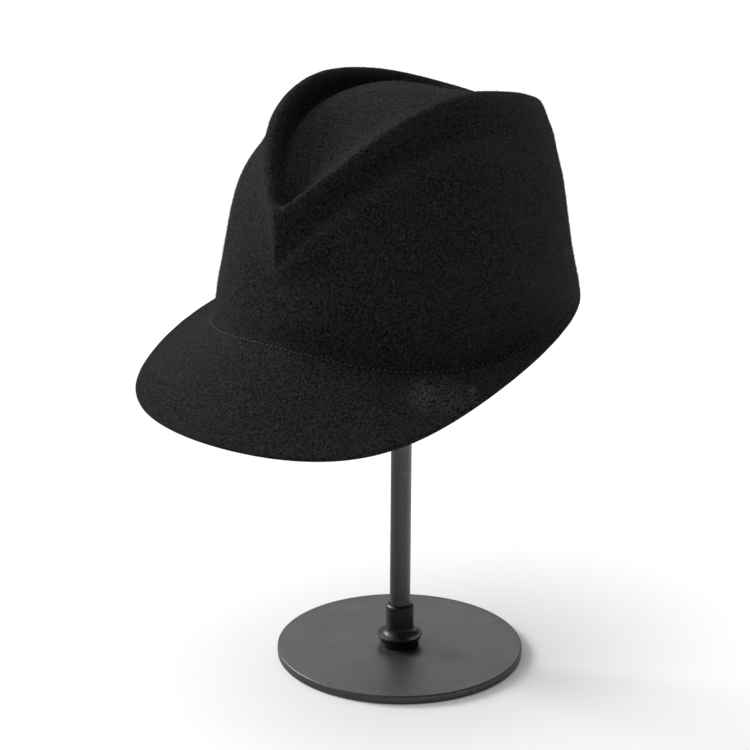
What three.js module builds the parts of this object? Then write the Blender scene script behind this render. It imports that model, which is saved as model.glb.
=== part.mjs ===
// A blocked wool-felt hat with a teardrop crown and a drooping visor, on its black steel display stand.
// Millimetres, +Z up. The origin is the centre of the base plate's underside.
// The hat's front, with its visor, looks along -Y, and the wearer's left is +X.
import * as THREE from "three";

// Stand
const PLATE_RADIUS = 66;
const PLATE_THICKNESS = 4.8;
const PLATE_EDGE_ROUND = 0.9;
const ROD_RADIUS = 5.5;
const FIT_GAP = 0.3; // left between pieces that touch on the real stand
const SIDES = { plate: 64, ferrule: 32, rod: 32, rest: 40 }; // flats round each turned piece

// The turned ferrule that holds the rod: heights are above the plate's top face
const FERRULE = {
  footRadius: 9,
  footHeight: 2.5,
  rimRadius: 12.1,
  rimTop: 5.6,
  sleeveRadius: 7.35,
  flareTop: 10.7,
  sleeveTop: 23.3,
  chamfer: 0.8,
  edgeRound: 0.6,
  flareSteps: 6,
};

// The domed head rest that the crown sits on, hidden by the hat
const REST_RADIUS = 42;
const REST_RISE = 14;
const REST_RIM = 3;
const REST_TOP = 309.2;

// Hat: where it sits on the stand
const HAT_SEAT = { x: 7.9, y: -8.7, z: 203.3 };
const HAT_PITCH = THREE.MathUtils.degToRad(2.2); // front down
const HAT_ROLL = THREE.MathUtils.degToRad(0.7); // wearer's left up

// Hat: the felt and its mesh
const FELT_THICKNESS = 2.4;
const TURNS = 60; // columns round the hat
const ROW_STEP = 12; // longest mesh row
const LEAST_SHARE = 0.15; // the least of a face that a bend takes
const PINCH_REACH = THREE.MathUtils.degToRad(24); // how far round the front fold narrows a line

// Each row is one closed line round the hat, from the brim's cut edge to the top.
// front, back: y where the line crosses the middle plane; stations run 0, 45, 90, 135, 180 degrees
// from front to back. width is half the line's width and height its z at those stations. A drop is
// a height taken down from the crest. pinch is the share of the width that the front fold takes away,
// and dip is how far the fold draws the line down.
// Where the felt is creased, the line is where the two faces would meet, radius is that of the bend
// between them, and share is the most of a face that the bend may take. sweep moves an angle on
// towards the back, so that the brim's edge, whose middle lies further forward, keeps level with
// the band beside it.
const CREST_HEIGHT = [78.5, 110.5, 123, 99, 83.5];
const LINES = {
  edge: {
    front: -149.5,
    back: 107,
    width: [141, 118.5, 97, 87, 82.5],
    height: [-29.5, -23.5, -5.5, -3, -2],
    sweep: 0.26,
  },
  band: {
    front: -106.5,
    back: 101.5,
    width: [86, 91, 88, 83.5, 83.5],
    height: [8, -2, -0.5, 3.5, 4.5],
    radius: 9,
    share: 0.42,
  },
  wall: { front: -105, back: 97, width: [82.5], height: [18, 26, 24, 20, 20] },
  bulge: { front: -98, back: 99, width: [69, 72, 70.5, 71, 67], drop: [36, 45.5, 47, 41, 39.5], pinch: 0.16, dip: 6 },
  dent: {
    front: -98,
    back: 97.5,
    width: [37, 46, 55.5, 63, 64],
    drop: [23, 24, 23, 17.5, 18],
    pinch: 0.47,
    dip: 8,
    radius: 6.5,
    share: 0.33,
  },
  crest: { front: -96.5, back: 98, width: [35, 38.5, 41.5, 48, 55], drop: [0], pinch: 0.48, radius: 3.9, share: 0.66 },
  groove: {
    front: -87,
    back: 82.5,
    width: [17.5, 31, 37, 42, 44],
    drop: [6.5, 19.5, 21, 4, -3],
    pinch: 0.19,
    radius: 3.2,
    share: 0.3,
  },
  shoulder: { front: -81.5, back: 63, width: [12, 26, 32, 35, 36], height: [74, 92.5, 107.5, 102.5, 94], pinch: 0.1 },
  dome: { front: -42, back: 38, width: [17], height: [97, 103, 110.5, 107.5, 104] },
};
const APEX = new THREE.Vector3(0, 0, 111.5);

// The smooth even curve round the hat through its values at the five stations, as a short cosine series.
function roundTheHat(values, angle) {
  if (values.length === 1) return values[0];
  const last = values.length - 1;
  let sum = 0;
  for (let k = 0; k <= last; k++) {
    let weight = 0;
    values.forEach((value, j) => {
      const half = j === 0 || j === last ? 0.5 : 1;
      weight += half * value * Math.cos((Math.PI * k * j) / last);
    });
    const end = k === 0 || k === last ? 0.5 : 1;
    sum += ((2 * end) / last) * weight * Math.cos(k * angle);
  }
  return sum;
}

function linePoint(line, turn) {
  const angle = turn + ((line.sweep ?? 0) * Math.sin(turn) * (1 + Math.cos(turn))) / 2;
  const fromFront = Math.min(angle, 2 * Math.PI - angle) / PINCH_REACH;
  const fold = Math.exp(-fromFront * fromFront);
  const pinched = 1 - (line.pinch ?? 0) * fold;
  const middle = (line.front + line.back) / 2;
  const reach = (line.back - line.front) / 2;
  const height = line.height
    ? roundTheHat(line.height, angle)
    : roundTheHat(CREST_HEIGHT, angle) - roundTheHat(line.drop, angle);
  return new THREE.Vector3(
    roundTheHat(line.width, angle) * pinched * Math.sin(angle),
    middle - reach * Math.cos(angle),
    height - (line.dip ?? 0) * fold * fold,
  );
}

// A crease becomes three points of the arc that rounds it: its two ends and its middle.
function creased(point, below, above, { radius, share }) {
  const down = below.clone().sub(point);
  const up = above.clone().sub(point);
  const shorter = Math.min(down.length(), up.length());
  down.normalize();
  up.normalize();
  const sinHalf = Math.sqrt((1 - down.dot(up)) / 2);
  const cosHalf = Math.sqrt((1 + down.dot(up)) / 2);
  const tangent = THREE.MathUtils.clamp((radius * cosHalf) / sinHalf, LEAST_SHARE * shorter, share * shorter);
  const middle = tangent / (2 * (1 + sinHalf));
  return [
    point.clone().addScaledVector(down, tangent),
    point.clone().addScaledVector(down, middle).addScaledVector(up, middle),
    point.clone().addScaledVector(up, tangent),
  ];
}

// One column of points from the brim's edge towards the apex. The point half-way across the brim
// keeps the visor straight from its root to its edge.
function column(angle) {
  const lines = Object.values(LINES);
  const points = lines.map((line) => linePoint(line, angle));
  const folded = points.flatMap((point, i) =>
    lines[i].radius ? creased(point, points[i - 1], points[i + 1], lines[i]) : [point],
  );
  folded.splice(1, 0, points[0].clone().lerp(points[1], 0.5));
  return folded;
}

function controlNet() {
  return Array.from({ length: TURNS }, (_, i) => column((2 * Math.PI * i) / TURNS));
}

// How many mesh rows each span of the net takes, from its longest length round the hat.
function spanSteps(net, apex) {
  return net[0].map((_, row) => {
    const lengths = net.map((points) => points[row].distanceTo(points[row + 1] ?? apex));
    return Math.ceil(Math.max(...lengths) / ROW_STEP);
  });
}

// Rows of points on the smooth surface through a control net, brim edge first, without the apex.
function skin(net, apex, steps) {
  const columns = net.map((points, i) => {
    const across = net[(i + TURNS / 2) % TURNS];
    const curve = new THREE.CatmullRomCurve3([...points, apex, across.at(-1)], false, "centripetal");
    const spans = points.length + 1;
    return steps.flatMap((count, span) =>
      Array.from({ length: count }, (_, k) => curve.getPoint((span + k / count) / spans)),
    );
  });
  return columns[0].map((_, row) => columns.map((points) => points[row]));
}

// Outward normals at a net's points, from its neighbours round the hat and along each column.
function netNormals(net, apex) {
  return net.map((points, i) =>
    points.map((point, row) => {
      const around = net[(i + 1) % TURNS][row].clone().sub(net[(i + TURNS - 1) % TURNS][row]);
      const above = points[row + 1] ?? apex;
      const below = points[row - 1] ?? point;
      const up = above.clone().sub(point).normalize();
      if (below !== point) up.add(point.clone().sub(below).normalize());
      return around.cross(up).normalize();
    }),
  );
}

function feltHatGeometry() {
  const outerNet = controlNet();
  const normals = netNormals(outerNet, APEX);
  const innerNet = outerNet.map((points, i) =>
    points.map((point, row) => point.clone().addScaledVector(normals[i][row], -FELT_THICKNESS)),
  );
  const innerApex = APEX.clone().setZ(APEX.z - FELT_THICKNESS);
  const steps = spanSteps(outerNet, APEX);
  const outer = skin(outerNet, APEX, steps);
  const inner = skin(innerNet, innerApex, steps);
  const rows = [...inner.reverse(), ...outer];
  const points = rows.flat();
  const lastRow = rows.length - 1;
  const innerPole = points.push(innerApex) - 1;
  const outerPole = points.push(APEX) - 1;
  const index = [];
  for (let i = 0; i < TURNS; i++) {
    const next = (i + 1) % TURNS;
    for (let row = 0; row < lastRow; row++) {
      const here = row * TURNS;
      const over = here + TURNS;
      index.push(here + i, here + next, over + next, here + i, over + next, over + i);
    }
    index.push(innerPole, next, i);
    index.push(outerPole, lastRow * TURNS + i, lastRow * TURNS + next);
  }
  const geometry = new THREE.BufferGeometry().setFromPoints(points);
  geometry.setIndex(index);
  geometry.computeVertexNormals();
  return geometry;
}

// A turned piece from its outline, given as [radius, z] pairs from the lower axis end to the upper one,
// or closed on itself round a bore.
function turned(outline, sides) {
  return new THREE.LatheGeometry(
    outline.map(([radius, z]) => new THREE.Vector2(radius, z)),
    sides,
  ).rotateX(Math.PI / 2);
}

function quarterRound(radius, centreRadius, centreHeight, from, to, steps) {
  const points = [];
  for (let i = 0; i <= steps; i++) {
    const angle = from + ((to - from) * i) / steps;
    points.push([centreRadius + radius * Math.cos(angle), centreHeight + radius * Math.sin(angle)]);
  }
  return points;
}

function basePlateGeometry() {
  const r = PLATE_EDGE_ROUND;
  const side = PLATE_RADIUS - r;
  return turned(
    [
      [0, 0],
      ...quarterRound(r, side, r, -Math.PI / 2, 0, 2),
      ...quarterRound(r, side, PLATE_THICKNESS - r, 0, Math.PI / 2, 2),
      [0, PLATE_THICKNESS],
    ],
    SIDES.plate,
  );
}

function ferruleGeometry() {
  const f = FERRULE;
  const foot = PLATE_THICKNESS + FIT_GAP;
  const bore = ROD_RADIUS + FIT_GAP;
  const flare = [];
  const flareFoot = f.rimTop + f.edgeRound;
  const shoulder = f.rimRadius - f.edgeRound;
  for (let i = 0; i <= f.flareSteps; i++) {
    // a quarter of an ellipse, from the rim's inner shoulder up to the sleeve
    const angle = (Math.PI / 2) * (i / f.flareSteps);
    const radius = shoulder - (shoulder - f.sleeveRadius) * Math.sin(angle);
    flare.push([radius, flareFoot + (f.flareTop - flareFoot) * (1 - Math.cos(angle))]);
  }
  const outline = [
    [bore, 0],
    [f.footRadius, 0],
    [f.footRadius, f.footHeight - f.edgeRound],
    [shoulder, f.footHeight],
    [f.rimRadius, f.footHeight + f.edgeRound],
    [f.rimRadius, f.rimTop],
    ...flare,
    [f.sleeveRadius, f.sleeveTop - f.chamfer],
    [f.sleeveRadius - f.chamfer, f.sleeveTop],
    [bore, f.sleeveTop],
    [bore, 0],
  ];
  return turned(outline, SIDES.ferrule).translate(0, 0, foot);
}

function rodGeometry() {
  const foot = PLATE_THICKNESS + FIT_GAP;
  const top = REST_TOP - REST_RISE - REST_RIM - FIT_GAP;
  const rod = new THREE.CylinderGeometry(ROD_RADIUS, ROD_RADIUS, top - foot, SIDES.rod).rotateX(Math.PI / 2);
  return rod.translate(0, 0, (top + foot) / 2);
}

function headRestGeometry() {
  const sphere = (REST_RADIUS ** 2 + REST_RISE ** 2) / (2 * REST_RISE);
  const centre = REST_TOP - sphere;
  const rimAngle = Math.acos(REST_RADIUS / sphere);
  const dome = quarterRound(sphere, 0, centre, rimAngle, Math.PI / 2, 6);
  const underside = REST_TOP - REST_RISE - REST_RIM;
  dome[dome.length - 1][0] = 0;
  return turned([[0, underside], [REST_RADIUS, underside], ...dome], SIDES.rest);
}

const coatedSteel = new THREE.MeshStandardMaterial({ color: "#2b2c2e", roughness: 0.62, metalness: 0.1 });
const blackFelt = new THREE.MeshStandardMaterial({ color: "#1b1b1c", roughness: 1, metalness: 0 });

function piece(name, geometry, material) {
  const mesh = new THREE.Mesh(geometry, material);
  mesh.name = name;
  return mesh;
}

const hatSeat = new THREE.Group();
hatSeat.position.set(HAT_SEAT.x, HAT_SEAT.y, HAT_SEAT.z);
hatSeat.rotation.set(HAT_PITCH, -HAT_ROLL, 0, "YXZ");
hatSeat.add(piece("felt_hat", feltHatGeometry(), blackFelt));

const hatOnStand = new THREE.Group();
hatOnStand.add(
  piece("base_plate", basePlateGeometry(), coatedSteel),
  piece("rod_ferrule", ferruleGeometry(), coatedSteel),
  piece("rod", rodGeometry(), coatedSteel),
  piece("head_rest", headRestGeometry(), coatedSteel),
  hatSeat,
);

export default hatOnStand;
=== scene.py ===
# %% [markdown]
# # A blocked wool-felt hat on its steel display stand
# The real hat is one cone of wool felt. It is steamed, pulled over a wooden block, pinched into a
# teardrop top while it is hot, and its brim is cut to a visor at the front. It hangs on a domed
# rest at the top of a coated steel rod, which a turned ferrule holds on a round base plate.
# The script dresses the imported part: the stand's pieces and the hat are made again finer, from
# the same named sizes, and every surface gets a material of its own.

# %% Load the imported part
import math

import bpy
import numpy as np
from mathutils import Matrix, Vector


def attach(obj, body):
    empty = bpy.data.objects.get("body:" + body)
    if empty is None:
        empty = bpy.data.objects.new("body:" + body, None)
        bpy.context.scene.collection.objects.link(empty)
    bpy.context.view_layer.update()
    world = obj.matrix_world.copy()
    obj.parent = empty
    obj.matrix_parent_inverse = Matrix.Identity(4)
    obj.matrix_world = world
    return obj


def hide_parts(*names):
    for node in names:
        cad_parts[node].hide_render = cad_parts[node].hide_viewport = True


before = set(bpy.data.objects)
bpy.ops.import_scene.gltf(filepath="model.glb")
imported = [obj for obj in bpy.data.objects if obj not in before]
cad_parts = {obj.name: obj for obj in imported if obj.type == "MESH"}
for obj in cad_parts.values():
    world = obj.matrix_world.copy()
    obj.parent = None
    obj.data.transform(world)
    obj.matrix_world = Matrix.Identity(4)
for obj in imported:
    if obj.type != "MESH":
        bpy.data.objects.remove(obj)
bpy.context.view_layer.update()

MM = 0.001

# %% [markdown]
# ## A few small helpers
# A colour picked from a swatch is an sRGB value, but Blender's sockets want linear light, so one
# function turns a hex value to linear. Node trees could be built one call at a time. One helper
# that adds a node, sets it and links it keeps each tree readable as a list of its nodes. Patterns
# are sized in real millimetres, so one more gives the place on the object in them.

# %% Helpers for colours and nodes
def linear(hex_value):
    """An sRGB hex colour as the linear RGBA that a colour socket takes."""
    steps = [int(hex_value[i : i + 2], 16) / 255 for i in (1, 3, 5)]
    return (*[s / 12.92 if s <= 0.04045 else ((s + 0.055) / 1.055) ** 2.4 for s in steps], 1.0)


def add_node(tree, kind, settings=None, inputs=None):
    """Adds a node; each input gets a value, or a link where a socket of another node is given."""
    node = tree.nodes.new(kind)
    for name, value in (settings or {}).items():
        setattr(node, name, value)
    for key, value in (inputs or {}).items():
        if isinstance(value, bpy.types.NodeSocket):
            tree.links.new(value, node.inputs[key])
        else:
            node.inputs[key].default_value = value
    return node


def new_material(name):
    """An empty node material and its tree."""
    material = bpy.data.materials.new(name)
    material.use_nodes = True
    material.node_tree.nodes.clear()
    return material, material.node_tree


def finish_material(tree, inputs):
    """Ends a material's tree with the shader of its surface."""
    shader = add_node(tree, "ShaderNodeBsdfPrincipled", inputs=inputs)
    add_node(tree, "ShaderNodeOutputMaterial", inputs={"Surface": shader.outputs[0]})


def millimetres_in(tree):
    """The place on the object, in millimetres."""
    spot = add_node(tree, "ShaderNodeTexCoord")
    return add_node(
        tree,
        "ShaderNodeVectorMath",
        {"operation": "SCALE"},
        {0: spot.outputs["Object"], "Scale": 1 / MM},
    ).outputs[0]


print("a mid grey, #808080, is", round(linear("#808080")[0], 3), "in linear light")

# %% [markdown]
# ## The camera
# A product picture is taken from far away with a long lens, so that the shape isn't stretched.
# The camera stands a metre and a half away, a little above the hat, and turned round its front.
# Its matrix is built from those angles, which is exact and needs no aiming constraint.

# %% Camera
CAMERA_AZIMUTH = math.radians(38.9)
CAMERA_ELEVATION = math.radians(19.54)
CAMERA_ROLL = math.radians(0.337)
CAMERA_DISTANCE = 1.5
CAMERA_LENS = 137.64  # mm, on a sensor 36 mm wide
CAMERA_AIM = Vector((-0.0110, -0.0089, 0.1585))

sin_a, cos_a = math.sin(CAMERA_AZIMUTH), math.cos(CAMERA_AZIMUTH)
sin_e, cos_e = math.sin(CAMERA_ELEVATION), math.cos(CAMERA_ELEVATION)
back = Vector((sin_a * cos_e, -cos_a * cos_e, sin_e))
level = Vector((cos_a, sin_a, 0.0))
upright = level.cross(-back)
right = level * math.cos(CAMERA_ROLL) + upright * math.sin(CAMERA_ROLL)
up = -level * math.sin(CAMERA_ROLL) + upright * math.cos(CAMERA_ROLL)
place = CAMERA_AIM + back * CAMERA_DISTANCE

camera = bpy.data.objects.new("camera", bpy.data.cameras.new("camera"))
bpy.context.scene.collection.objects.link(camera)
camera.data.lens = CAMERA_LENS
camera.data.sensor_width = 36.0
camera.matrix_world = Matrix(
    [(right[i], up[i], back[i], place[i]) for i in range(3)] + [(0, 0, 0, 1)]
)
bpy.context.scene.camera = camera
print("camera at", [round(v, 3) for v in place])

# %% [markdown]
# ## Floor and light
# The studio is a white sweep of paper with light from the left: a large window lamp, a pale wall
# behind it, a weaker lamp high at the front and one behind the hat that draws a grey rim on it.
# Panels with lamps in them would do, but they leave patches on a white floor. Far lamps of a
# given width light the floor evenly, and the pale wall and ceiling are soft lobes of the world's
# own light. The room behind the camera stays dark, which keeps the near side of black felt black.

# %% Floor
FLOOR_HALF = 6.0
FLOOR_DROP = 0.0003  # m below the plate, so that the two faces don't share a plane
PAPER_GLOW = 0.09
floor_mesh = bpy.data.meshes.new("floor")
floor_mesh.from_pydata(
    [(x * FLOOR_HALF, y * FLOOR_HALF, -FLOOR_DROP) for x, y in ((-1, -1), (1, -1), (1, 1), (-1, 1))],
    [],
    [(0, 1, 2, 3)],
)
floor = bpy.data.objects.new("floor", floor_mesh)
bpy.context.scene.collection.objects.link(floor)

paper, tree = new_material("matt_white_paper_sweep")
matt = add_node(
    tree, "ShaderNodeBsdfDiffuse", inputs={"Color": linear("#e4e4e4"), "Roughness": 1.0}
)
glow = add_node(
    tree, "ShaderNodeEmission", inputs={"Color": (1.0, 1.0, 1.0, 1.0), "Strength": PAPER_GLOW}
)
both = add_node(tree, "ShaderNodeAddShader", inputs={0: matt.outputs[0], 1: glow.outputs[0]})
add_node(tree, "ShaderNodeOutputMaterial", inputs={"Surface": both.outputs[0]})
floor_mesh.materials.append(paper)
print("floor half width", FLOOR_HALF, "m, with a little light through it from below")

# %% Lamps
# Each lamp: azimuth from the hat's front (negative is left), elevation, how wide it looks from the
# hat, all in degrees, and strength. A wide lamp has soft shadows.
LAMPS = {
    "window_lamp": (-78, 30, 24, 4.0),
    "front_lamp": (-38, 66, 62, 1.9),
    "back_lamp": (-140, 45, 50, 1.0),
}
for name, (azimuth, elevation, width, strength) in LAMPS.items():
    lamp = bpy.data.objects.new(name, bpy.data.lights.new(name, "SUN"))
    bpy.context.scene.collection.objects.link(lamp)
    lamp.data.energy = strength
    lamp.data.angle = math.radians(width)
    around, above = math.radians(azimuth), math.radians(elevation)
    towards_lamp = Vector((math.sin(around), -math.cos(around), math.tan(above)))
    lamp.rotation_mode = "QUATERNION"
    lamp.rotation_quaternion = towards_lamp.to_track_quat("Z", "Y")
print(len(LAMPS), "lamps")

# %% Pale wall and ceiling
# Each lobe falls off as the square of the cosine from its direction, as light from a soft wall does.
BACKDROP_WHITE = 0.93  # what the camera sees behind the object
ROOM = {
    "left_wall": ((-cos_a, -sin_a, 0.0), 0.9),
    "ceiling": ((0.0, 0.0, 1.0), 0.62),
}
world = bpy.data.worlds.new("studio")
bpy.context.scene.world = world
world.use_nodes = True
tree = world.node_tree
tree.nodes.clear()
direction = add_node(tree, "ShaderNodeTexCoord").outputs["Generated"]
lobes = []
for name, (axis, strength) in ROOM.items():
    facing = add_node(
        tree, "ShaderNodeVectorMath", {"operation": "DOT_PRODUCT"}, {0: direction, 1: axis}
    )
    lobe = facing.outputs["Value"]
    for operation, by in (("MAXIMUM", 0.0), ("POWER", 2.0), ("MULTIPLY", strength)):
        lobe = add_node(tree, "ShaderNodeMath", {"operation": operation}, {0: lobe, 1: by}).outputs[0]
    lobes.append(lobe)
room_light = add_node(tree, "ShaderNodeMath", {"operation": "ADD"}, {0: lobes[0], 1: lobes[1]})
seen = add_node(tree, "ShaderNodeLightPath")
shown = add_node(
    tree,
    "ShaderNodeMix",
    {"data_type": "FLOAT"},
    {0: seen.outputs["Is Camera Ray"], 2: room_light.outputs[0], 3: BACKDROP_WHITE},
)
background = add_node(
    tree,
    "ShaderNodeBackground",
    inputs={"Color": (1.0, 1.0, 1.0, 1.0), "Strength": shown.outputs[0]},
)
add_node(tree, "ShaderNodeOutputWorld", inputs={"Surface": background.outputs[0]})
bpy.context.scene.view_settings.view_transform = "Standard"
print("room light from", ", ".join(ROOM))

# %% [markdown]
# ## The hat's lines
# Felt has no seams, so the hat's shape is one smooth skin. It could be sculpted, or made from a
# cone by cloth simulation over a block, but its folds have sizes that a hatter would name: the
# brim's edge, the band line, the crown's bulge, the dent under the ridge, the ridge, the groove
# inside it and the dome. Each of them is one closed line round the hat, and the skin is lofted
# through them. All sizes are millimetres in the hat's own frame. "width" is half the line's
# width, and it, "height" and "drop" (taken down from the ridge) are given at five stations
# from front to back. "pinch" and "dip" draw a line in and down at the front fold, and "radius"
# rounds a crease over at most "share" of the way to the next line.

# %% Table of the hat's lines
HAT_SEAT = (7.9, -8.7, 203.3)
HAT_PITCH = math.radians(2.2)
HAT_ROLL = math.radians(0.7)
FELT_THICKNESS = 2.4
LEAST_SHARE = 0.15  # of the way to the next line, which a crease is always rounded over
PINCH_REACH = math.radians(24)
APEX = np.array((0.0, 0.0, 111.5))
CREST_HEIGHT = (78.5, 110.5, 123, 99, 83.5)
LINES = {
    "edge": dict(
        front=-149.5,
        back=107,
        width=(141, 118.5, 97, 87, 82.5),
        height=(-29.5, -23.5, -5.5, -3, -2),
        sweep=0.26,
    ),
    "band": dict(
        front=-106.5,
        back=101.5,
        width=(86, 91, 88, 83.5, 83.5),
        height=(8, -2, -0.5, 3.5, 4.5),
        radius=(9, 6, 4, 4, 6),
        share=0.42,
    ),
    "wall": dict(front=-105, back=97, width=(82.5,), height=(18, 26, 24, 20, 20)),
    "bulge": dict(
        front=-98,
        back=99,
        width=(69, 72, 70.5, 71, 67),
        drop=(36, 45.5, 47, 41, 39.5),
        pinch=0.16,
        dip=6,
    ),
    "dent": dict(
        front=-98,
        back=97.5,
        width=(37, 46, 55.5, 63, 64),
        drop=(23, 24, 23, 17.5, 18),
        pinch=0.47,
        dip=8,
        radius=(3.0, 3.4, 5.5, 6.5, 6.5),
        share=0.33,
    ),
    "crest": dict(
        front=-96.5,
        back=98,
        width=(35, 38.5, 41.5, 48, 55),
        drop=(0,),
        pinch=0.48,
        radius=(3.9,),
        share=0.66,
    ),
    "groove": dict(
        front=-87,
        back=82.5,
        width=(17.5, 31, 37, 42, 44),
        drop=(6.5, 19.5, 21, 4, -3),
        pinch=0.19,
        radius=(3.2,),
        share=0.3,
    ),
    "shoulder": dict(
        front=-81.5,
        back=63,
        width=(12, 26, 32, 35, 36),
        height=(74, 92.5, 107.5, 102.5, 94),
        pinch=0.1,
    ),
    "dome": dict(front=-42, back=38, width=(17,), height=(97, 103, 110.5, 107.5, 104)),
}
print(len(LINES), "lines round the hat, from", next(iter(LINES)), "to", list(LINES)[-1])

# %% [markdown]
# ## From five stations to a line
# Five numbers must become an even, smooth curve round the hat. A cosine series does that: it
# passes through all five values, is level at front and back, and mirrors left and right.

# %% Points of one line
def round_the_hat(values, angle):
    """The smooth even curve round the hat through its values at the stations."""
    if len(values) == 1:
        return np.full_like(angle, values[0])
    last = len(values) - 1
    halves = [0.5 if j in (0, last) else 1.0 for j in range(last + 1)]
    total = np.zeros_like(angle)
    for k, end in enumerate(halves):
        waves = [math.cos(math.pi * k * j / last) for j in range(last + 1)]
        term = sum(half * value * wave for half, value, wave in zip(halves, values, waves))
        total += 2 * end / last * term * np.cos(k * angle)
    return total


def line_points(line, turn):
    """The line's points at the given turns round the hat, 0 at the front."""
    angle = turn + line.get("sweep", 0) * np.sin(turn) * (1 + np.cos(turn)) / 2
    from_front = np.minimum(angle, 2 * math.pi - angle) / PINCH_REACH
    fold = np.exp(-(from_front**2))
    pinched = 1 - line.get("pinch", 0) * fold
    if "height" in line:
        height = round_the_hat(line["height"], angle)
    else:
        height = round_the_hat(CREST_HEIGHT, angle) - round_the_hat(line["drop"], angle)
    height = height - line.get("dip", 0) * fold**2
    middle = (line["front"] + line["back"]) / 2
    reach = (line["back"] - line["front"]) / 2
    width = round_the_hat(line["width"], angle) * pinched
    return np.stack([width * np.sin(angle), middle - reach * np.cos(angle), height], -1)


TURNS = 288
turns = 2 * math.pi * np.arange(TURNS) / TURNS
ridge = line_points(LINES["crest"], turns)
print("ridge from z", ridge[:, 2].min().round(1), "to", ridge[:, 2].max().round(1), "mm")

# %% [markdown]
# ## Rounding the creases
# Felt can't be folded sharp. Where a line is a crease, three points take its place: the two ends
# and the middle of the arc that rounds it. Then a smooth curve runs up each column of points, over
# the apex and on to the far side, so that the top closes without a nipple.

# %% Control net and smooth columns
def length(vectors):
    """Lengths of an array of vectors, kept as a last axis of one."""
    return np.linalg.norm(vectors, axis=-1, keepdims=True)


def creased(point, below, above, radius, share):
    """The two ends and the middle of the arc that rounds a crease."""
    down, rise = below - point, above - point
    shorter = np.minimum(length(down), length(rise))
    down, rise = down / length(down), rise / length(rise)
    cosine = (down * rise).sum(-1, keepdims=True)
    sin_half, cos_half = np.sqrt((1 - cosine) / 2), np.sqrt((1 + cosine) / 2)
    tangent = np.clip(radius * cos_half / sin_half, LEAST_SHARE * shorter, share * shorter)
    middle = tangent / (2 * (1 + sin_half))
    return [point + down * tangent, point + (down + rise) * middle, point + rise * tangent]


def control_net(turn):
    """Rows of control points from the brim's edge up, without the apex."""
    lines = list(LINES.values())
    rows = [line_points(line, turn) for line in lines]
    net = []
    for i, line in enumerate(lines):
        if "radius" in line:
            radius = round_the_hat(line["radius"], turn)[:, None]
            net += creased(rows[i], rows[i - 1], rows[i + 1], radius, line["share"])
        else:
            net.append(rows[i])
    net.insert(1, (rows[0] + rows[1]) / 2)
    return np.array(net)


def net_normals(net, apex):
    """Outward directions at the control points, from their neighbours."""
    around = np.roll(net, -1, axis=1) - np.roll(net, 1, axis=1)
    above = np.concatenate([net[1:], np.broadcast_to(apex, (1, *net.shape[1:]))]) - net
    above = above / length(above)
    rise = above.copy()
    rise[1:] += above[:-1]
    normal = np.cross(around, rise)
    return normal / length(normal)


def smooth_columns(net, apex, steps):
    """Points on the centripetal curve up each column; steps is how many each span gets."""
    half_way = (np.arange(TURNS) + TURNS // 2) % TURNS
    across = net[-1][half_way]
    knots = [2 * net[0] - net[1], *net, np.broadcast_to(apex, across.shape), across]
    rows = []
    for span, count in enumerate(steps):
        a, b, c, d = knots[span : span + 4]
        t1 = np.sqrt(length(b - a))
        t2 = t1 + np.sqrt(length(c - b))
        t3 = t2 + np.sqrt(length(d - c))
        for k in range(count):
            t = t1 + (t2 - t1) * k / count
            ab = (t1 - t) / t1 * a + t / t1 * b
            bc = (t2 - t) / (t2 - t1) * b + (t - t1) / (t2 - t1) * c
            cd = (t3 - t) / (t3 - t2) * c + (t - t2) / (t3 - t2) * d
            abc = (t2 - t) / t2 * ab + t / t2 * bc
            bcd = (t3 - t) / (t3 - t1) * bc + (t - t1) / (t3 - t1) * cd
            rows.append((t2 - t) / (t2 - t1) * abc + (t - t1) / (t2 - t1) * bcd)
    return np.array(rows)


print(sum("radius" in line for line in LINES.values()), "of the lines are creases")

# %% [markdown]
# ## Where the fingers pressed
# The pinch is made by hand on the hot felt, and under the wearer's left ridge the fingers pressed
# deeper. The dent there lies closer to the ridge, and the felt swells out below it, so it has a
# dark overhang and a crisp lower edge. It could be sculpted in afterwards, but then the inner wall
# wouldn't follow. Moving the control points, from the front fold to the middle of the side, moves
# both walls.

# %% Press under the ridge
PRESS_DEPTH = 3.2  # mm
PRESS_TURN = math.radians(52)  # middle of the press, round from the front
PRESS_REACH = math.radians(42)
SWELL_HEIGHT = 2.6  # mm that the felt swells out below the press
SWELL_PLACE = 0.67  # share of the way from the bulge up to the dent
LIFT_SHARE = 0.25  # how far the press moves the dent towards the ridge
BULGE_ROW = 6  # in the net
DENT_ROWS = slice(7, 10)
outer_net = control_net(turns)
pressed = np.exp(-(((turns - PRESS_TURN) / PRESS_REACH) ** 4))[:, None]
outward_at = net_normals(outer_net, APEX)
towards_ridge = outer_net[DENT_ROWS.stop] - outer_net[DENT_ROWS.stop - 1]
outer_net[DENT_ROWS] += towards_ridge * LIFT_SHARE * pressed
swelling = (1 - SWELL_PLACE) * outer_net[BULGE_ROW] + SWELL_PLACE * outer_net[BULGE_ROW + 1]
swelling += outward_at[BULGE_ROW] * SWELL_HEIGHT * pressed
outer_net[DENT_ROWS] -= outward_at[DENT_ROWS] * PRESS_DEPTH * pressed
outer_net = np.insert(outer_net, BULGE_ROW + 1, swelling, axis=0)
print("press between", np.degrees(turns[pressed[:, 0] > 0.5][[0, -1]]).round(), "degrees")

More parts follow.
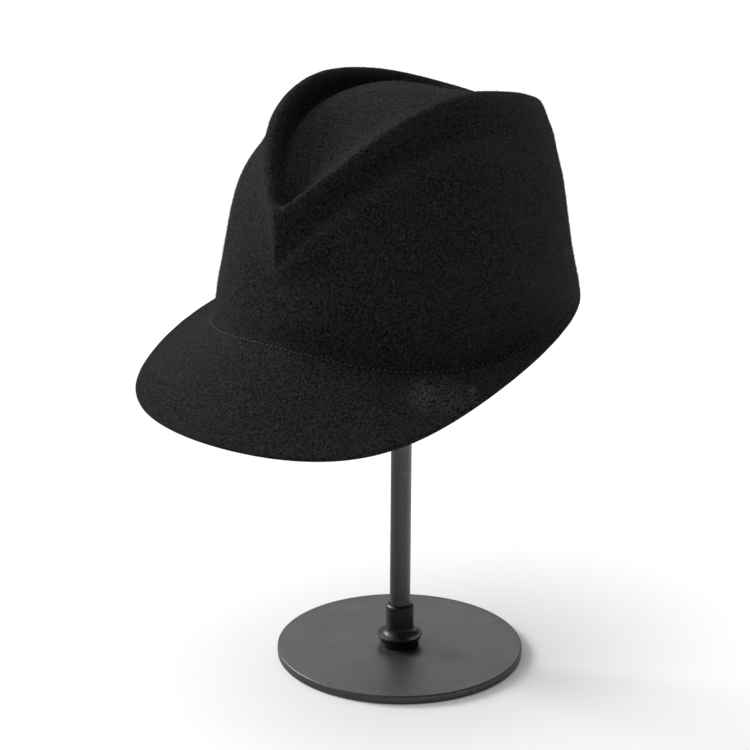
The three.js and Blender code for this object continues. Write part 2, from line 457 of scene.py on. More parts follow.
# %% Mesh rows of the outer wall
BAND_ROWS = (2, 3, 4)  # in the net
BAND_STEPS = 4  # at least, finer beside the sewn line
ROW_STEP = 2.6  # mm, the longest mesh row
spans = np.diff(np.concatenate([outer_net, np.broadcast_to(APEX, (1, TURNS, 3))]), axis=0)
span_steps = [math.ceil(v) for v in length(spans).max(axis=(1, 2)) / ROW_STEP]
for row in BAND_ROWS:
    span_steps[row] = max(span_steps[row], BAND_STEPS)
outer = smooth_columns(outer_net, APEX, span_steps)
print(len(outer_net), "control rows become", len(outer), "mesh rows of", TURNS, "points")

# %% [markdown]
# ## The inner wall
# Felt is the same thickness all over, 2.4 mm here. A Solidify modifier would do it, but at the
# tight folds its inner wall crosses itself. Moving the control points inwards and running the same
# smooth curve through them rounds the folds off inside, as thick felt does.

# %% Inner wall
normals = net_normals(outer_net, APEX)
inner_net = outer_net - normals * FELT_THICKNESS
inner_apex = APEX - np.array((0.0, 0.0, FELT_THICKNESS))
inner = smooth_columns(inner_net, inner_apex, span_steps)
print("inner wall rows:", len(inner))

# %% [markdown]
# ## The cut edge and the hand-made surface
# A visor is cut with a knife and sanded, so its edge is a narrow band with softened corners. Three
# rows between the walls make it. A hat blocked by hand is never as even as its formula. A slow
# noise of a third of a millimetre moves the outer wall only, so that the inside still sits on its
# rest. The noise is smooth Perlin noise, which gives the same hat on each run.

# %% Cut edge and slow unevenness
from mathutils import noise

EDGE_BULGE = 0.55  # mm that the sanded edge stands out
UNEVEN_DEPTH = 0.34  # mm
UNEVEN_SIZE = 26.0  # mm
RIPPLE_SIZE = 9.0  # mm
RIPPLE_SHARE = 0.4
EDGE_CORNER = 0.12  # where the softened corner lies across the edge
CORNER_BULGE = 0.62


def unevenness(point):
    """How far the felt stands out at a point, as a share of the depth."""
    slow = noise.noise(Vector(point / UNEVEN_SIZE))
    return slow + RIPPLE_SHARE * noise.noise(Vector(point / RIPPLE_SIZE))


def cut_edge_rows(inner_row, outer_row, outward):
    """Rows across the brim's cut edge, from the inner wall to the outer one."""
    rows = []
    corners = (EDGE_CORNER, CORNER_BULGE), (1 - EDGE_CORNER, CORNER_BULGE)
    for share, bulge in (corners[0], (0.5, 1.0), corners[1]):
        point = inner_row + (outer_row - inner_row) * share
        rows.append(point + outward * bulge * EDGE_BULGE)
    return np.array(rows)


outer_normals = net_normals(outer, APEX)
uneven = np.array([[unevenness(point) for point in row] for row in outer])
outer = outer + outer_normals * (uneven * UNEVEN_DEPTH)[..., None]
outer_apex = APEX + (0.0, 0.0, uneven[-1].mean() * UNEVEN_DEPTH)
outward = outer[0] - outer[1]
outward = outward / length(outward)
edge_rows = cut_edge_rows(inner[0], outer[0], outward)
print("unevenness from", uneven.min().round(2), "to", uneven.max().round(2), "times", UNEVEN_DEPTH, "mm")

# %% [markdown]
# ## Putting the hat on its stand
# The rows are still in the hat's own frame. The felt tips a little forwards and to one side on its
# rest. One function turns and moves points to their place, so that the finished mesh needs no
# object transform.

# %% Helpers that seat points and make a mesh
def turned(first, second, angle):
    """Two coordinates, turned together by an angle."""
    cosine, sine = math.cos(angle), math.sin(angle)
    return first * cosine - second * sine, first * sine + second * cosine


def seated(points):
    """Points of the hat's frame, turned and moved to their place on the stand, in metres."""
    x, y, z = points[..., 0], points[..., 1], points[..., 2]
    y, z = turned(y, z, HAT_PITCH)
    x, z = turned(x, z, HAT_ROLL)
    return (np.stack([x, y, z], -1) + HAT_SEAT) * MM


def mesh_object(name, vertices, faces):
    """A plain smooth mesh object at the origin, linked to the scene."""
    mesh = bpy.data.meshes.new(name)
    mesh.from_pydata([tuple(v) for v in vertices], [], faces)
    mesh.update()
    mesh.shade_smooth()
    made = bpy.data.objects.new(name, mesh)
    bpy.context.scene.collection.objects.link(made)
    return made


print("the hat sits at", HAT_SEAT, "mm, pitched by", round(math.degrees(HAT_PITCH), 1), "degrees")

# %% The felt hat
rows = np.concatenate([inner[::-1], edge_rows, outer])
poles = seated(np.array([inner_apex, outer_apex]))
vertices = np.concatenate([seated(rows).reshape(-1, 3), poles])
inner_pole, outer_pole = len(vertices) - 2, len(vertices) - 1
last = len(rows) - 1
faces = []
for i in range(TURNS):
    j = (i + 1) % TURNS
    faces.append((inner_pole, j, i))
    faces.append((outer_pole, last * TURNS + i, last * TURNS + j))
    for row in range(last):
        a, b = row * TURNS, (row + 1) * TURNS
        faces.append((a + i, a + j, b + j, b + i))

felt_hat = mesh_object("blocked_felt_hat", vertices, faces)
triangles = sum(len(face) - 2 for face in faces)
print("felt hat:", len(vertices), "points,", triangles, "triangles")
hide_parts("felt_hat")
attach(felt_hat, "root")

# %% [markdown]
# ## Painted shade along the sewn line
# The sewn line draws the felt into a narrow crease. The crease's shade is painted on, strongest on
# the wearer's left, the side turned away from the lamps. Above it the crown's foot lies in its own
# shade. A crease a millimetre wide would need far more mesh rows, so each point carries a number,
# one on the line and none away from it, and the felt material darkens by it as painted shade. A
# wider and fainter part above the line is painted shade too, standing in for shade that the lamps
# don't give.

# %% Painted shade of the sewn line
SEAM_HALF_WIDTH = 1.3  # mm
SHADE_REACH = 16.0  # mm above the line
SHADE_SHARE = 0.4
LEAST_SEAM_SHADE = 0.25
SEAM_SHADE_TURN = math.radians(72)  # where it is strongest, round from the front
SEAM_SHADE_REACH = math.radians(42)
band_row = sum(span_steps[: BAND_ROWS[1]])
from_seam = length(outer - outer[band_row])[..., 0]
round_to_left = np.exp(-(((turns - SEAM_SHADE_TURN) / SEAM_SHADE_REACH) ** 2))
above_seam = np.arange(len(outer))[:, None] > band_row
# Painted shade: dark in the narrow crease on the line, fainter above it, most on the wearer's left.
shade = SHADE_SHARE * np.exp(-((from_seam / SHADE_REACH) ** 2)) * above_seam
crease_shade = np.exp(-((from_seam / SEAM_HALF_WIDTH) ** 2))
painted_seam_shade = np.maximum(crease_shade, shade) * (LEAST_SEAM_SHADE + (1 - LEAST_SEAM_SHADE) * round_to_left)
weights = np.zeros(len(vertices))
outer_start = (len(inner) + len(edge_rows)) * TURNS
weights[outer_start : outer_start + painted_seam_shade.size] = painted_seam_shade.ravel()
felt_hat.data.attributes.new("painted_seam_shade", "FLOAT", "POINT").data.foreach_set("value", weights)
print("sewn line is", round(float(length(np.diff(outer[band_row], axis=0)).sum())), "mm round")

# %% [markdown]
# ## The stand's turned pieces
# The base plate, ferrule, rod and head rest are all round about the same upright line, as they come
# off a lathe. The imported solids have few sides. Each outline is spun again with many, so that
# highlights run round them without facets. Spinning can turn a shape inside out, so doubles are
# merged first and the normals are worked out after that. Sizes are millimetres above the table.

# %% Turn an outline round the upright axis
import bmesh

SPIN_STEPS = 160
SAME_POINT = 2e-6  # m
SHARP_ANGLE = math.radians(38)


def arc(radius, centre, start, end, steps):
    """Points [radius, z] of an arc, with its angles in degrees."""
    angles = np.radians(np.linspace(start, end, steps + 1))
    return [(centre[0] + radius * math.cos(a), centre[1] + radius * math.sin(a)) for a in angles]


def turned_piece(name, outline, closed=False):
    """A piece spun from its outline of (radius, z) in mm; a closed outline goes round a bore."""
    mesh = bmesh.new()
    points = [mesh.verts.new((radius * MM, 0.0, z * MM)) for radius, z in outline]
    pairs = list(zip(points, points[1:]))
    if closed:
        pairs.append((points[-1], points[0]))
    edges = [mesh.edges.new(pair) for pair in pairs]
    bmesh.ops.spin(
        mesh,
        geom=points + edges,
        cent=(0.0, 0.0, 0.0),
        axis=(0.0, 0.0, 1.0),
        angle=2 * math.pi,
        steps=SPIN_STEPS,
    )
    bmesh.ops.remove_doubles(mesh, verts=mesh.verts, dist=SAME_POINT)
    bmesh.ops.recalc_face_normals(mesh, faces=mesh.faces)
    made = bpy.data.objects.new(name, bpy.data.meshes.new(name))
    mesh.to_mesh(made.data)
    mesh.free()
    made.data.shade_smooth()
    made.data.set_sharp_from_angle(angle=SHARP_ANGLE)
    bpy.context.scene.collection.objects.link(made)
    print(name, "has", len(made.data.polygons), "faces")
    return made


print("outlines are turned in", SPIN_STEPS, "steps")

# %% Base plate
PLATE_RADIUS = 66.0
PLATE_THICKNESS = 4.8
PLATE_EDGE_ROUND = 0.9
PLATE_RINGS = (60.0, 45.0, 30.0, 15.0, 5.0, 0.0)  # radii, so that no face is long and thin
plate_side = PLATE_RADIUS - PLATE_EDGE_ROUND
plate_outline = [
    (0.0, 0.0),
    *arc(PLATE_EDGE_ROUND, (plate_side, PLATE_EDGE_ROUND), -90, 0, 5),
    *arc(PLATE_EDGE_ROUND, (plate_side, PLATE_THICKNESS - PLATE_EDGE_ROUND), 0, 90, 5),
    *[(radius, PLATE_THICKNESS) for radius in PLATE_RINGS],
]
base_plate = turned_piece("coated_base_plate", plate_outline)
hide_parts("base_plate")

# %% Ferrule
FIT_GAP = 0.3
ROD_RADIUS = 5.5
FOOT_RADIUS = 10.3
FOOT_HEIGHT = 2.5
RIM_RADIUS = 12.1
RIM_TOP = 5.6
SLEEVE_RADIUS = 7.35
FLARE_TOP = 10.7
SLEEVE_TOP = 23.3
CHAMFER = 0.8
EDGE_ROUND = 0.45
UNDERCUT_STEP = 0.4
RIM_ARC = (-50, 80)  # degrees, from the undercut to the flare
stand_foot = PLATE_THICKNESS + FIT_GAP
shoulder = RIM_RADIUS - EDGE_ROUND
flare_foot = RIM_TOP + EDGE_ROUND
flare = [
    (
        shoulder - (shoulder - SLEEVE_RADIUS) * math.sin(angle),
        flare_foot + (FLARE_TOP - flare_foot) * (1 - math.cos(angle)),
    )
    for angle in np.linspace(0, math.pi / 2, 15)
]
ferrule_outline = [
    (ROD_RADIUS + FIT_GAP, 0.0),
    (FOOT_RADIUS, 0.0),
    (FOOT_RADIUS, FOOT_HEIGHT - EDGE_ROUND),
    (FOOT_RADIUS + UNDERCUT_STEP, FOOT_HEIGHT),
    *arc(EDGE_ROUND, (shoulder, RIM_TOP), *RIM_ARC, 7),
    *flare,
    (SLEEVE_RADIUS, SLEEVE_TOP - CHAMFER),
    (SLEEVE_RADIUS - CHAMFER, SLEEVE_TOP),
    (ROD_RADIUS + FIT_GAP, SLEEVE_TOP),
]
ferrule = turned_piece(
    "turned_rod_ferrule", [(radius, z + stand_foot) for radius, z in ferrule_outline], closed=True
)
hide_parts("rod_ferrule")

# %% Rod and head rest
REST_RADIUS = 42.0
REST_RISE = 14.0
REST_RIM = 3.0
REST_TOP = 309.2
REST_EDGE_ROUND = 0.6
rest_foot = REST_TOP - REST_RISE - REST_RIM
rod_top = rest_foot - FIT_GAP
ROD_BEVEL = 0.3
LOWEST_RING = 40.0
rod_outline = [
    (0.0, stand_foot),
    (ROD_RADIUS - ROD_BEVEL, stand_foot),
    (ROD_RADIUS, stand_foot + ROD_BEVEL),
    *[(ROD_RADIUS, z) for z in np.linspace(LOWEST_RING, rod_top - ROD_BEVEL, 7)],
    (ROD_RADIUS - ROD_BEVEL, rod_top),
    (0.0, rod_top),
]
rod = turned_piece("coated_rod", rod_outline)
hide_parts("rod")

dome_radius = (REST_RADIUS**2 + REST_RISE**2) / (2 * REST_RISE)
rim_angle = math.degrees(math.acos(REST_RADIUS / dome_radius))
rest_outline = [
    (0.0, rest_foot),
    *arc(REST_EDGE_ROUND, (REST_RADIUS - REST_EDGE_ROUND, rest_foot + REST_EDGE_ROUND), -90, 0, 3),
    *arc(dome_radius, (0.0, REST_TOP - dome_radius), rim_angle, 90, 24)[:-1],
    (0.0, REST_TOP),
]
head_rest = turned_piece("coated_head_rest", rest_outline)
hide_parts("head_rest")

for piece, slot in (
    (base_plate, "coated_steel"),
    (ferrule, "turned_ferrule"),
    (rod, "coated_steel"),
    (head_rest, "coated_steel"),
):
    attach(piece, "root")

# %% [markdown]
# ## Black wool felt
# Felt is a mat of crimped wool fibres, dyed black and pressed. A black dye still throws back about
# half a percent of the light, so the felt is deep and dull head on. The nap on its face catches the
# light as fine grey grain, and a little more of it where the face is seen edge on, which is what
# sheen is for. The grain could be a picture of felt, but noise in real millimetres has no seam and
# no repeat. Three sizes of it are mixed: the nap, the clumps the nap gathers in, and slow cloudy
# wear from handling.

# %% Felt material
felt, tree = new_material("dyed_blocked_wool_felt")
millimetres = millimetres_in(tree)

NAP_GRAIN = 1.1  # mm, twice as coarse as real tufts, or it wouldn't show
CLUMP_SIZE = 3.5  # mm
WEAR_SIZE = 22.0  # mm
nap = add_node(
    tree,
    "ShaderNodeTexNoise",
    inputs={"Vector": millimetres, "Scale": 1 / NAP_GRAIN, "Detail": 1.5, "Roughness": 0.6},
)
clumps = add_node(
    tree,
    "ShaderNodeTexNoise",
    inputs={"Vector": millimetres, "Scale": 1 / CLUMP_SIZE, "Detail": 2.0, "Roughness": 0.55},
)
wear = add_node(
    tree,
    "ShaderNodeTexNoise",
    inputs={"Vector": millimetres, "Scale": 1 / WEAR_SIZE, "Detail": 3.0, "Roughness": 0.6},
)
nap_level = add_node(
    tree,
    "ShaderNodeMapRange",
    inputs={"Value": nap.outputs["Fac"], "From Min": 0.36, "From Max": 0.66},
)
tufts = add_node(
    tree,
    "ShaderNodeMix",
    {"data_type": "FLOAT"},
    {0: 0.22, 2: nap_level.outputs["Result"], 3: clumps.outputs["Fac"]},
)
dyed = add_node(
    tree,
    "ShaderNodeMix",
    {"data_type": "RGBA"},
    {0: tufts.outputs[0], 6: linear("#000000"), 7: linear("#252526")},
)
rubbed = add_node(
    tree,
    "ShaderNodeMapRange",
    inputs={"Value": wear.outputs["Fac"], "From Min": 0.42, "From Max": 0.75, "To Max": 0.3},
)
worn = add_node(
    tree,
    "ShaderNodeMix",
    {"data_type": "RGBA"},
    {0: rubbed.outputs["Result"], 6: dyed.outputs[2], 7: linear("#1e1e1f")},
)
print("felt grain", NAP_GRAIN, "mm, clumps", CLUMP_SIZE, "mm, wear", WEAR_SIZE, "mm")

# %% [markdown]
# ## Scuffs on the visor
# Where a hand takes the visor, the nap is rubbed up and pale. Each scuff is a long soft patch, given
# by its middle, its turn and its half sizes in millimetres, and broken up by the nap itself. A
# Mapping node of the Texture kind turns those numbers straight into a patch of radius one. The
# sewn line's shade comes last, because it lies over wear and scuffs alike.

# %% Scuffs
SCUFF_STRENGTH = 0.26
SCUFFS = (
    ((83.6, -90.5, 192.0), 40.0, (7.0, 13.0, 16.0)),
    ((99.4, -71.6, 191.8), 55.0, (4.0, 8.0, 10.0)),
    ((90.0, -84.0, 192.0), 30.0, (22.0, 16.0, 14.0)),
)
scuffed = worn.outputs[2]
for middle, turn, half_sizes in SCUFFS:
    patch = add_node(
        tree,
        "ShaderNodeMapping",
        {"vector_type": "TEXTURE"},
        {
            "Vector": millimetres,
            "Location": middle,
            "Rotation": (0.0, 0.0, math.radians(turn)),
            "Scale": half_sizes,
        },
    )
    away = add_node(
        tree, "ShaderNodeVectorMath", {"operation": "LENGTH"}, {0: patch.outputs[0]}
    )
    fade = add_node(
        tree,
        "ShaderNodeMapRange",
        inputs={
            "Value": away.outputs["Value"],
            "From Min": 1.0,
            "From Max": 0.2,
            "To Max": SCUFF_STRENGTH,
        },
    )
    broken = add_node(
        tree,
        "ShaderNodeMath",
        {"operation": "MULTIPLY"},
        {0: fade.outputs["Result"], 1: nap_level.outputs["Result"]},
    )
    pale = add_node(
        tree,
        "ShaderNodeMix",
        {"data_type": "RGBA"},
        {0: broken.outputs[0], 6: scuffed, 7: linear("#565658")},
    )
    scuffed = pale.outputs[2]
print(len(SCUFFS), "scuffs")

# %% Shade along the sewn line
# Painted shade: the felt goes towards near black along the sewn line and above it.
SEAM_SHADE = 0.75
seam = add_node(tree, "ShaderNodeAttribute", {"attribute_name": "painted_seam_shade"})
seam_shade_amount = add_node(
    tree, "ShaderNodeMath", {"operation": "MULTIPLY"}, {0: seam.outputs["Fac"], 1: SEAM_SHADE}
)
shaded = add_node(
    tree,
    "ShaderNodeMix",
    {"data_type": "RGBA"},
    {0: seam_shade_amount.outputs[0], 6: scuffed, 7: linear("#030303")},
)
print("the sewn line is shaded by up to", SEAM_SHADE)

# %% Felt surface
NAP_HEIGHT = 0.0004  # m
bump = add_node(
    tree,
    "ShaderNodeBump",
    inputs={"Height": tufts.outputs[0], "Distance": NAP_HEIGHT, "Strength": 1.0},
)
finish_material(
    tree,
    {
        "Base Color": shaded.outputs[2],
        "Roughness": 0.95,
        "Specular IOR Level": 0.03,
        "Sheen Weight": 0.03,
        "Sheen Roughness": 0.5,
        "Sheen Tint": linear("#d8d8dc"),
        "Normal": bump.outputs[0],
    },
)
felt_hat.data.materials.append(felt)
print(felt.name, "has", len(tree.nodes), "nodes")

# %% [markdown]
# ## A tool for pieces that repeat
# Stitches, lint and nap are the same small shape many times over. Copying meshes in a loop would
# work, but a Geometry Nodes tree shows the rule at a glance and its sizes can be changed later. One
# helper starts a tree with its named inputs. A second one runs it on a mesh and keeps the result
# as a plain mesh, because the finished part may hold no live instances.

# %% Helpers for Geometry Nodes
def growing_tree(name, sizes):
    """An empty Geometry Nodes tree with a Geometry input and named float, integer or material ones."""
    tree = bpy.data.node_groups.new(name, "GeometryNodeTree")
    tree.interface.new_socket("Geometry", in_out="INPUT", socket_type="NodeSocketGeometry")
    for size, kind in sizes.items():
        tree.interface.new_socket(size, in_out="INPUT", socket_type=kind)
    tree.interface.new_socket("Geometry", in_out="OUTPUT", socket_type="NodeSocketGeometry")
    return tree, tree.nodes.new("NodeGroupInput").outputs


def finish_tree(tree, instances, material):
    """Ends a tree: the instances become real faces with one material."""
    real = add_node(tree, "GeometryNodeRealizeInstances", inputs={0: instances})
    painted = add_node(
        tree, "GeometryNodeSetMaterial", inputs={"Geometry": real.outputs[0], "Material": material}
    )
    add_node(tree, "NodeGroupOutput", inputs={0: painted.outputs[0]})


def grown(name, tree, source, sizes):
    """Runs the tree on a source object and returns its result as a plain mesh object."""
    modifier = source.modifiers.new("maker", "NODES")
    modifier.node_group = tree
    for item in tree.interface.items_tree:
        if item.in_out == "INPUT" and item.name in sizes:
            modifier[item.identifier] = sizes[item.name]
    evaluated = source.evaluated_get(bpy.context.evaluated_depsgraph_get())
    mesh = bpy.data.meshes.new_from_object(evaluated)
    source.modifiers.remove(modifier)
    bpy.data.objects.remove(source)
    mesh.shade_smooth()
    made = bpy.data.objects.new(name, mesh)
    bpy.context.scene.collection.objects.link(made)
    print(name, "has", sum(len(face.vertices) - 2 for face in mesh.polygons), "triangles")
    return made


# %% [markdown]
# ## The sewn line
# A row of lockstitches runs round the hat where the brim leaves the crown, and keeps the brim's
# turn. Each stitch is a short bead of black polished thread that sinks into the felt at both ends,
# so a stretched ball is enough: 28 faces, a little over 200 times. The same tree makes the row
# outside and the one inside, which starts one mesh point, about 2 mm, further round.

# %% Thread
thread, tree = new_material("polished_black_cotton_thread")
finish_material(
    tree, {"Base Color": linear("#262628"), "Roughness": 0.5, "Specular IOR Level": 0.3}
)
print("made", thread.name)

# %% A tree that lays stitches along a line
tree, given = growing_tree(
    "stitches_along_a_line",
    {
        "Pitch": "NodeSocketFloat",
        "Stitch Length": "NodeSocketFloat",
        "Thread Width": "NodeSocketFloat",
        "Thread": "NodeSocketMaterial",
    },
)
path = add_node(tree, "GeometryNodeMeshToCurve", inputs={0: given["Geometry"]})
marks = add_node(
    tree,
    "GeometryNodeResampleCurve",
    {"mode": "LENGTH"},
    {"Curve": path.outputs[0], "Length": given["Pitch"]},
)
along = add_node(tree, "GeometryNodeInputTangent")
laid = add_node(
    tree, "FunctionNodeAlignRotationToVector", {"axis": "X"}, {"Vector": along.outputs[0]}
)
bead = add_node(
    tree, "GeometryNodeMeshUVSphere", inputs={"Segments": 7, "Rings": 4, "Radius": 0.5}
)
bead_size = add_node(
    tree,
    "ShaderNodeCombineXYZ",
    inputs={0: given["Stitch Length"], 1: given["Thread Width"], 2: given["Thread Width"]},
)
beads = add_node(
    tree,
    "GeometryNodeInstanceOnPoints",
    inputs={
        "Points": marks.outputs[0],
        "Instance": bead.outputs[0],
        "Rotation": laid.outputs[0],
        "Scale": bead_size.outputs[0],
    },
)
finish_tree(tree, beads.outputs[0], given["Thread"])
print(tree.name, "has", len(tree.nodes), "nodes")

# %% The two rows of stitches
STITCH_PITCH = 2.8  # mm
STITCH_LENGTH = 1.7
THREAD_WIDTH = 0.62  # drawn a third coarser than the real thread, or it wouldn't show
STITCH_SINK = 0.14
for name, line, sink in (
    ("outer_stitches", outer[band_row], STITCH_SINK),
    ("inner_stitches", np.roll(inner[band_row], 1, axis=0), -STITCH_SINK),
):
    points = seated(line - outer_normals[band_row] * sink)
    loop = bpy.data.meshes.new(name)
    loop.from_pydata([tuple(p) for p in points], [(i, (i + 1) % TURNS) for i in range(TURNS)], [])
    source = bpy.data.objects.new(name + "_line", loop)
    bpy.context.scene.collection.objects.link(source)
    row = grown(
        name,
        tree,
        source,
        {
            "Pitch": STITCH_PITCH * MM,
            "Stitch Length": STITCH_LENGTH * MM,
            "Thread Width": THREAD_WIDTH * MM,
            "Thread": thread,
        },
    )
    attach(row, "root")

# %% [markdown]
# ## Lint and raised nap
# Black felt gathers pale lint: specks, and now and then a short curled fibre. Its own nap also
# stands up a little, which is what makes the outline soft. All three are scattered over the outside
# with fixed seeds. Hair curves would be finer, but they don't leave Blender as faces, so each
# raised hair is a cone of three faces. Real wool hairs are a fiftieth of a millimetre thick. These
# are drawn several times coarser, and far fewer, so that they show at all.

# %% Lint material
lint, tree = new_material("pale_cotton_lint")
finish_material(
    tree, {"Base Color": linear("#626265"), "Roughness": 1.0, "Specular IOR Level": 0.1}
)
print("made", lint.name)

# %% A tree that scatters one small shape
TILT_SEED, SPIN_SEED, SIZE_SEED = 3, 4, 5


def scatter_tree(name, shape_of, least_tilt, most_tilt):
    """A tree that scatters the shape over the faces; tilts are radians from the surface's normal."""
    tree, given = growing_tree(
        name,
        {
            "Density": "NodeSocketFloat",
            "Least Size": "NodeSocketFloat",
            "Most Size": "NodeSocketFloat",
            "Seed": "NodeSocketInt",
            "Finish": "NodeSocketMaterial",
        },
    )
    spread = add_node(
        tree,
        "GeometryNodeDistributePointsOnFaces",
        inputs={"Mesh": given["Geometry"], "Density": given["Density"], "Seed": given["Seed"]},
    )
    rotation = spread.outputs["Rotation"]
    for least, most, seed in (
        ((0.0, 0.0, 0.0), (0.0, 0.0, 2 * math.pi), SPIN_SEED),
        ((least_tilt, 0.0, 0.0), (most_tilt, 0.0, 0.0), TILT_SEED),
    ):
        angle = add_node(
            tree,
            "FunctionNodeRandomValue",
            {"data_type": "FLOAT_VECTOR"},
            {0: least, 1: most, "Seed": seed},
        )
        rotation = add_node(
            tree,
            "FunctionNodeRotateRotation",
            {"rotation_space": "LOCAL"},
            {0: rotation, 1: angle.outputs[0]},
        ).outputs[0]
    size = add_node(
        tree,
        "FunctionNodeRandomValue",
        {"data_type": "FLOAT"},
        {2: given["Least Size"], 3: given["Most Size"], "Seed": SIZE_SEED},
    )
    placed = add_node(
        tree,
        "GeometryNodeInstanceOnPoints",
        inputs={
            "Points": spread.outputs["Points"],
            "Instance": shape_of(tree),
            "Rotation": rotation,
            "Scale": size.outputs[1],
        },
    )
    finish_tree(tree, placed.outputs[0], given["Finish"])
    return tree


print("scatter seeds", TILT_SEED, SPIN_SEED, SIZE_SEED)


# %% Shapes to scatter
def speck_shape(tree):
    """A small ball of 20 faces, one across."""
    return add_node(
        tree, "GeometryNodeMeshIcoSphere", inputs={"Radius": 0.5, "Subdivisions": 1}
    ).outputs[0]


def fibre_shape(tree):
    """A curled fibre, one long, lying on the surface."""
    bend = add_node(
        tree,
        "GeometryNodeCurveQuadraticBezier",
        inputs={
            "Resolution": 6,
            "Start": (-0.5, 0.0, 0.02),
            "Middle": (0.1, 0.42, 0.12),
            "End": (0.5, -0.08, 0.03),
        },
    )
    rim = add_node(
        tree, "GeometryNodeCurvePrimitiveCircle", inputs={"Resolution": 3, "Radius": 0.03}
    )
    return add_node(
        tree,
        "GeometryNodeCurveToMesh",
        inputs={0: bend.outputs[0], "Profile Curve": rim.outputs[0], "Fill Caps": True},
    ).outputs[0]


def hair_shape(tree):
    """A cone of three faces, one high, with its foot on the felt."""
    return add_node(
        tree,
        "GeometryNodeMeshCone",
        {"fill_type": "NONE"},
        {"Vertices": 3, "Radius Top": 0.0, "Radius Bottom": 0.07, "Depth": 1.0},
    ).outputs["Mesh"]


print("a speck, a fibre and a hair are ready")


# %% Scatter lint and nap over the outside
def outside_skin(name):
    """A copy of the hat's outer wall alone, for things to stand on."""
    flat = seated(outer).reshape(-1, 3)
    quads = []
    for r in range(len(outer) - 1):
        for i in range(TURNS):
            j = (i + 1) % TURNS
            quads.append((r * TURNS + i, r * TURNS + j, (r + 1) * TURNS + j, (r + 1) * TURNS + i))
    return mesh_object(name, flat, quads)


SCATTERED = (
    # name, shape, least and most tilt, how many a square metre, least and most mm, seed, finish
    ("lint_specks", speck_shape, 0.0, 3.1, 3200.0, 0.22, 0.5, 11, lint),
    ("lint_fibres", fibre_shape, -0.15, 0.15, 330.0, 1.2, 2.8, 7, lint),
    ("raised_nap", hair_shape, 0.35, 1.25, 260000.0, 0.7, 1.5, 5, felt),
)
for name, shape_of, least_tilt, most_tilt, density, least, most, seed, finish in SCATTERED:
    piece = grown(
        name,
        scatter_tree("scatter_" + name, shape_of, least_tilt, most_tilt),
        outside_skin(name + "_skin"),
        {
            "Density": density,
            "Least Size": least * MM,
            "Most Size": most * MM,
            "Seed": seed,
            "Finish": finish,
        },
    )
    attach(piece, "root")

# %% [markdown]
# ## Powder coat on the plate and the rod
# The plate, the rod and the rest are sprayed with black polyester powder and baked. The coat melts
# into a skin with a fine grain, about a third of a millimetre, that spreads highlights into a satin
# haze. It also has dust, and the fine scratches of things set down on it. Bump alone would do for
# the grain, but each grain is also a paler fleck, so the same noise drives bump and colour. A
# slower noise drives the roughness, which gives cloudy patches in the highlight.

# %% Powder coat
COAT_GRAIN = 1.2  # mm, drawn four times as coarse as the real grain, or it wouldn't show
HAZE_SIZE = 20.0  # mm
coat, tree = new_material("satin_black_powder_coat_on_steel")
millimetres = millimetres_in(tree)
grain = add_node(
    tree,
    "ShaderNodeTexNoise",
    inputs={"Vector": millimetres, "Scale": 1 / COAT_GRAIN, "Detail": 2.0, "Roughness": 0.6},
)
grain_level = add_node(
    tree,
    "ShaderNodeMapRange",
    inputs={"Value": grain.outputs["Fac"], "From Min": 0.32, "From Max": 0.68},
)
haze = add_node(
    tree,
    "ShaderNodeTexNoise",
    inputs={"Vector": millimetres, "Scale": 1 / HAZE_SIZE, "Detail": 3.0, "Roughness": 0.6},
)
tone = add_node(
    tree,
    "ShaderNodeMix",
    {"data_type": "RGBA"},
    {0: grain_level.outputs["Result"], 6: linear("#101010"), 7: linear("#2d2d2d")},
)
satin = add_node(
    tree,
    "ShaderNodeMapRange",
    inputs={
        "Value": haze.outputs["Fac"],
        "From Min": 0.3,
        "From Max": 0.7,
        "To Min": 0.38,
        "To Max": 0.46,
    },
)
print("coat grain", COAT_GRAIN, "mm, haze", HAZE_SIZE, "mm")

# %% Dust and scratches on the coat
SCRATCH_TURN = 0.6  # radians
SCRATCH_SCALE = (0.9, 0.035, 0.9)  # per mm: some 30 mm long, a millimetre apart
DUST_SPACING = 5.0  # mm
stretched = add_node(
    tree,
    "ShaderNodeMapping",
    inputs={"Vector": millimetres, "Rotation": (0.0, 0.0, SCRATCH_TURN), "Scale": SCRATCH_SCALE},
)
scratch = add_node(
    tree,
    "ShaderNodeTexNoise",
    inputs={"Vector": stretched.outputs[0], "Scale": 1.0, "Detail": 1.0},
)
scratch_lines = add_node(
    tree,
    "ShaderNodeMapRange",
    inputs={"Value": scratch.outputs["Fac"], "From Min": 0.7, "From Max": 0.78, "To Max": 0.10},
)
dust = add_node(
    tree,
    "ShaderNodeTexVoronoi",
    inputs={"Vector": millimetres, "Scale": 1 / DUST_SPACING, "Randomness": 1.0},
)
dust_dots = add_node(
    tree,
    "ShaderNodeMapRange",
    inputs={"Value": dust.outputs["Distance"], "From Min": 0.09, "From Max": 0.04, "To Max": 0.16},
)
marks = add_node(
    tree,
    "ShaderNodeMath",
    {"operation": "MAXIMUM"},
    {0: scratch_lines.outputs["Result"], 1: dust_dots.outputs["Result"]},
)
coated = add_node(
    tree,
    "ShaderNodeMix",
    {"data_type": "RGBA"},
    {0: marks.outputs[0], 6: tone.outputs[2], 7: linear("#8d8f90")},
)
print("dust", DUST_SPACING, "mm apart")
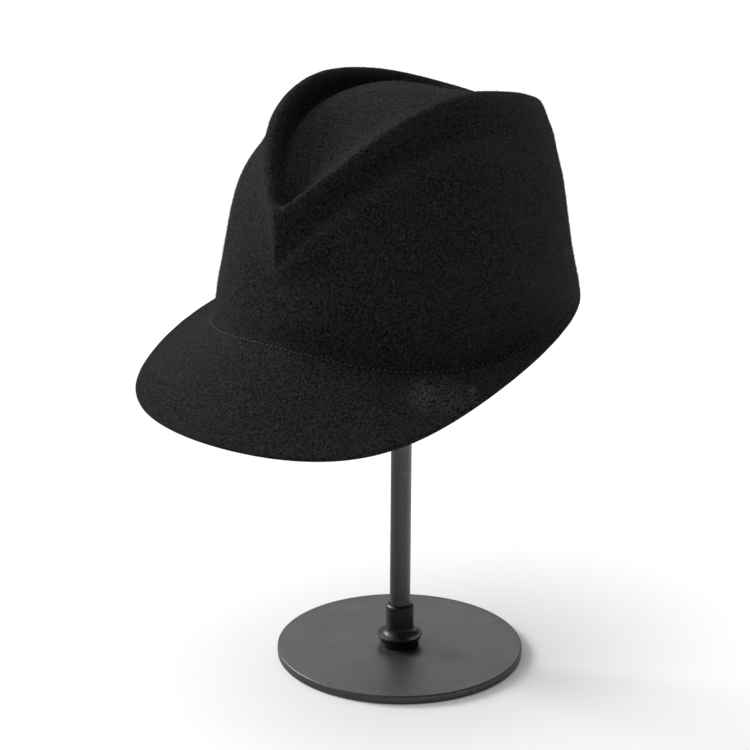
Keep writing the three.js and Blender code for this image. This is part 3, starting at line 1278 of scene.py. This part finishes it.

# %% Coat surface, and its copy on the rod
# The rod has the same coat as the plate. Its copy is painted darker, as painted shade, and has less
# grain.
GRAIN_HEIGHT = 0.00014  # m
ROD_GRAIN_HEIGHT = 0.00004  # m
bump = add_node(
    tree,
    "ShaderNodeBump",
    inputs={"Height": grain.outputs["Fac"], "Distance": GRAIN_HEIGHT, "Strength": 1.0},
)
finish_material(
    tree,
    {
        "Base Color": coated.outputs[2],
        "Roughness": satin.outputs["Result"],
        "Normal": bump.outputs[0],
    },
)
for piece in (base_plate, head_rest):
    piece.data.materials.append(coat)
shaded_rod_coat = coat.copy()
shaded_rod_coat.name = "satin_black_powder_coat_with_painted_shade_on_rod"
# Painted shade: the rod's paler grain is set darker than the plate's.
shaded_rod_coat.node_tree.nodes[tone.name].inputs[7].default_value = linear("#161616")
shaded_rod_coat.node_tree.nodes[bump.name].inputs["Distance"].default_value = ROD_GRAIN_HEIGHT
rod.data.materials.append(shaded_rod_coat)
print("made", coat.name, "and", shaded_rod_coat.name)

# %% [markdown]
# ## Lacquer on the turned ferrule
# The ferrule is turned from steel bar and lacquered black, so it is darker than the coated plate
# and its highlight is clearer, with no grain in it. The lathe's feed leaves rings about half a
# millimetre apart under the lacquer. They are a wave along the upright axis, which is exact for a
# turned piece, where a noise would look cast. Finger marks make the gloss uneven.

# %% Ferrule lacquer
TOOL_FEED = 0.45  # mm between turning rings
WAVE_UNIT = 0.314  # mm between the rings of a wave texture at a scale of one
RING_HEIGHT = 0.000006  # m
FINGER_MARKS = 220.0  # a metre, so that each is some 4.5 mm wide
lacquer, tree = new_material("black_lacquer_on_turned_steel")
spot = add_node(tree, "ShaderNodeTexCoord")
height = add_node(
    tree,
    "ShaderNodeVectorMath",
    {"operation": "MULTIPLY"},
    {0: spot.outputs["Object"], 1: (0.0, 0.0, 1000.0)},
)
rings = add_node(
    tree,
    "ShaderNodeTexWave",
    {"wave_type": "BANDS", "bands_direction": "Z"},
    {"Vector": height.outputs[0], "Scale": WAVE_UNIT / TOOL_FEED, "Distortion": 0.0},
)
finger_marks = add_node(
    tree,
    "ShaderNodeTexNoise",
    inputs={"Vector": spot.outputs["Object"], "Scale": FINGER_MARKS, "Detail": 3.0},
)
gloss = add_node(
    tree,
    "ShaderNodeMapRange",
    inputs={
        "Value": finger_marks.outputs["Fac"],
        "From Min": 0.3,
        "From Max": 0.7,
        "To Min": 0.36,
        "To Max": 0.46,
    },
)
bump = add_node(
    tree,
    "ShaderNodeBump",
    inputs={"Height": rings.outputs["Fac"], "Distance": RING_HEIGHT, "Strength": 1.0},
)
finish_material(
    tree,
    {
        "Base Color": linear("#050505"),
        "Roughness": gloss.outputs["Result"],
        "Specular IOR Level": 0.28,
        "Normal": bump.outputs[0],
    },
)
ferrule.data.materials.append(lacquer)
print("lacquered ferrule with rings", TOOL_FEED, "mm apart")
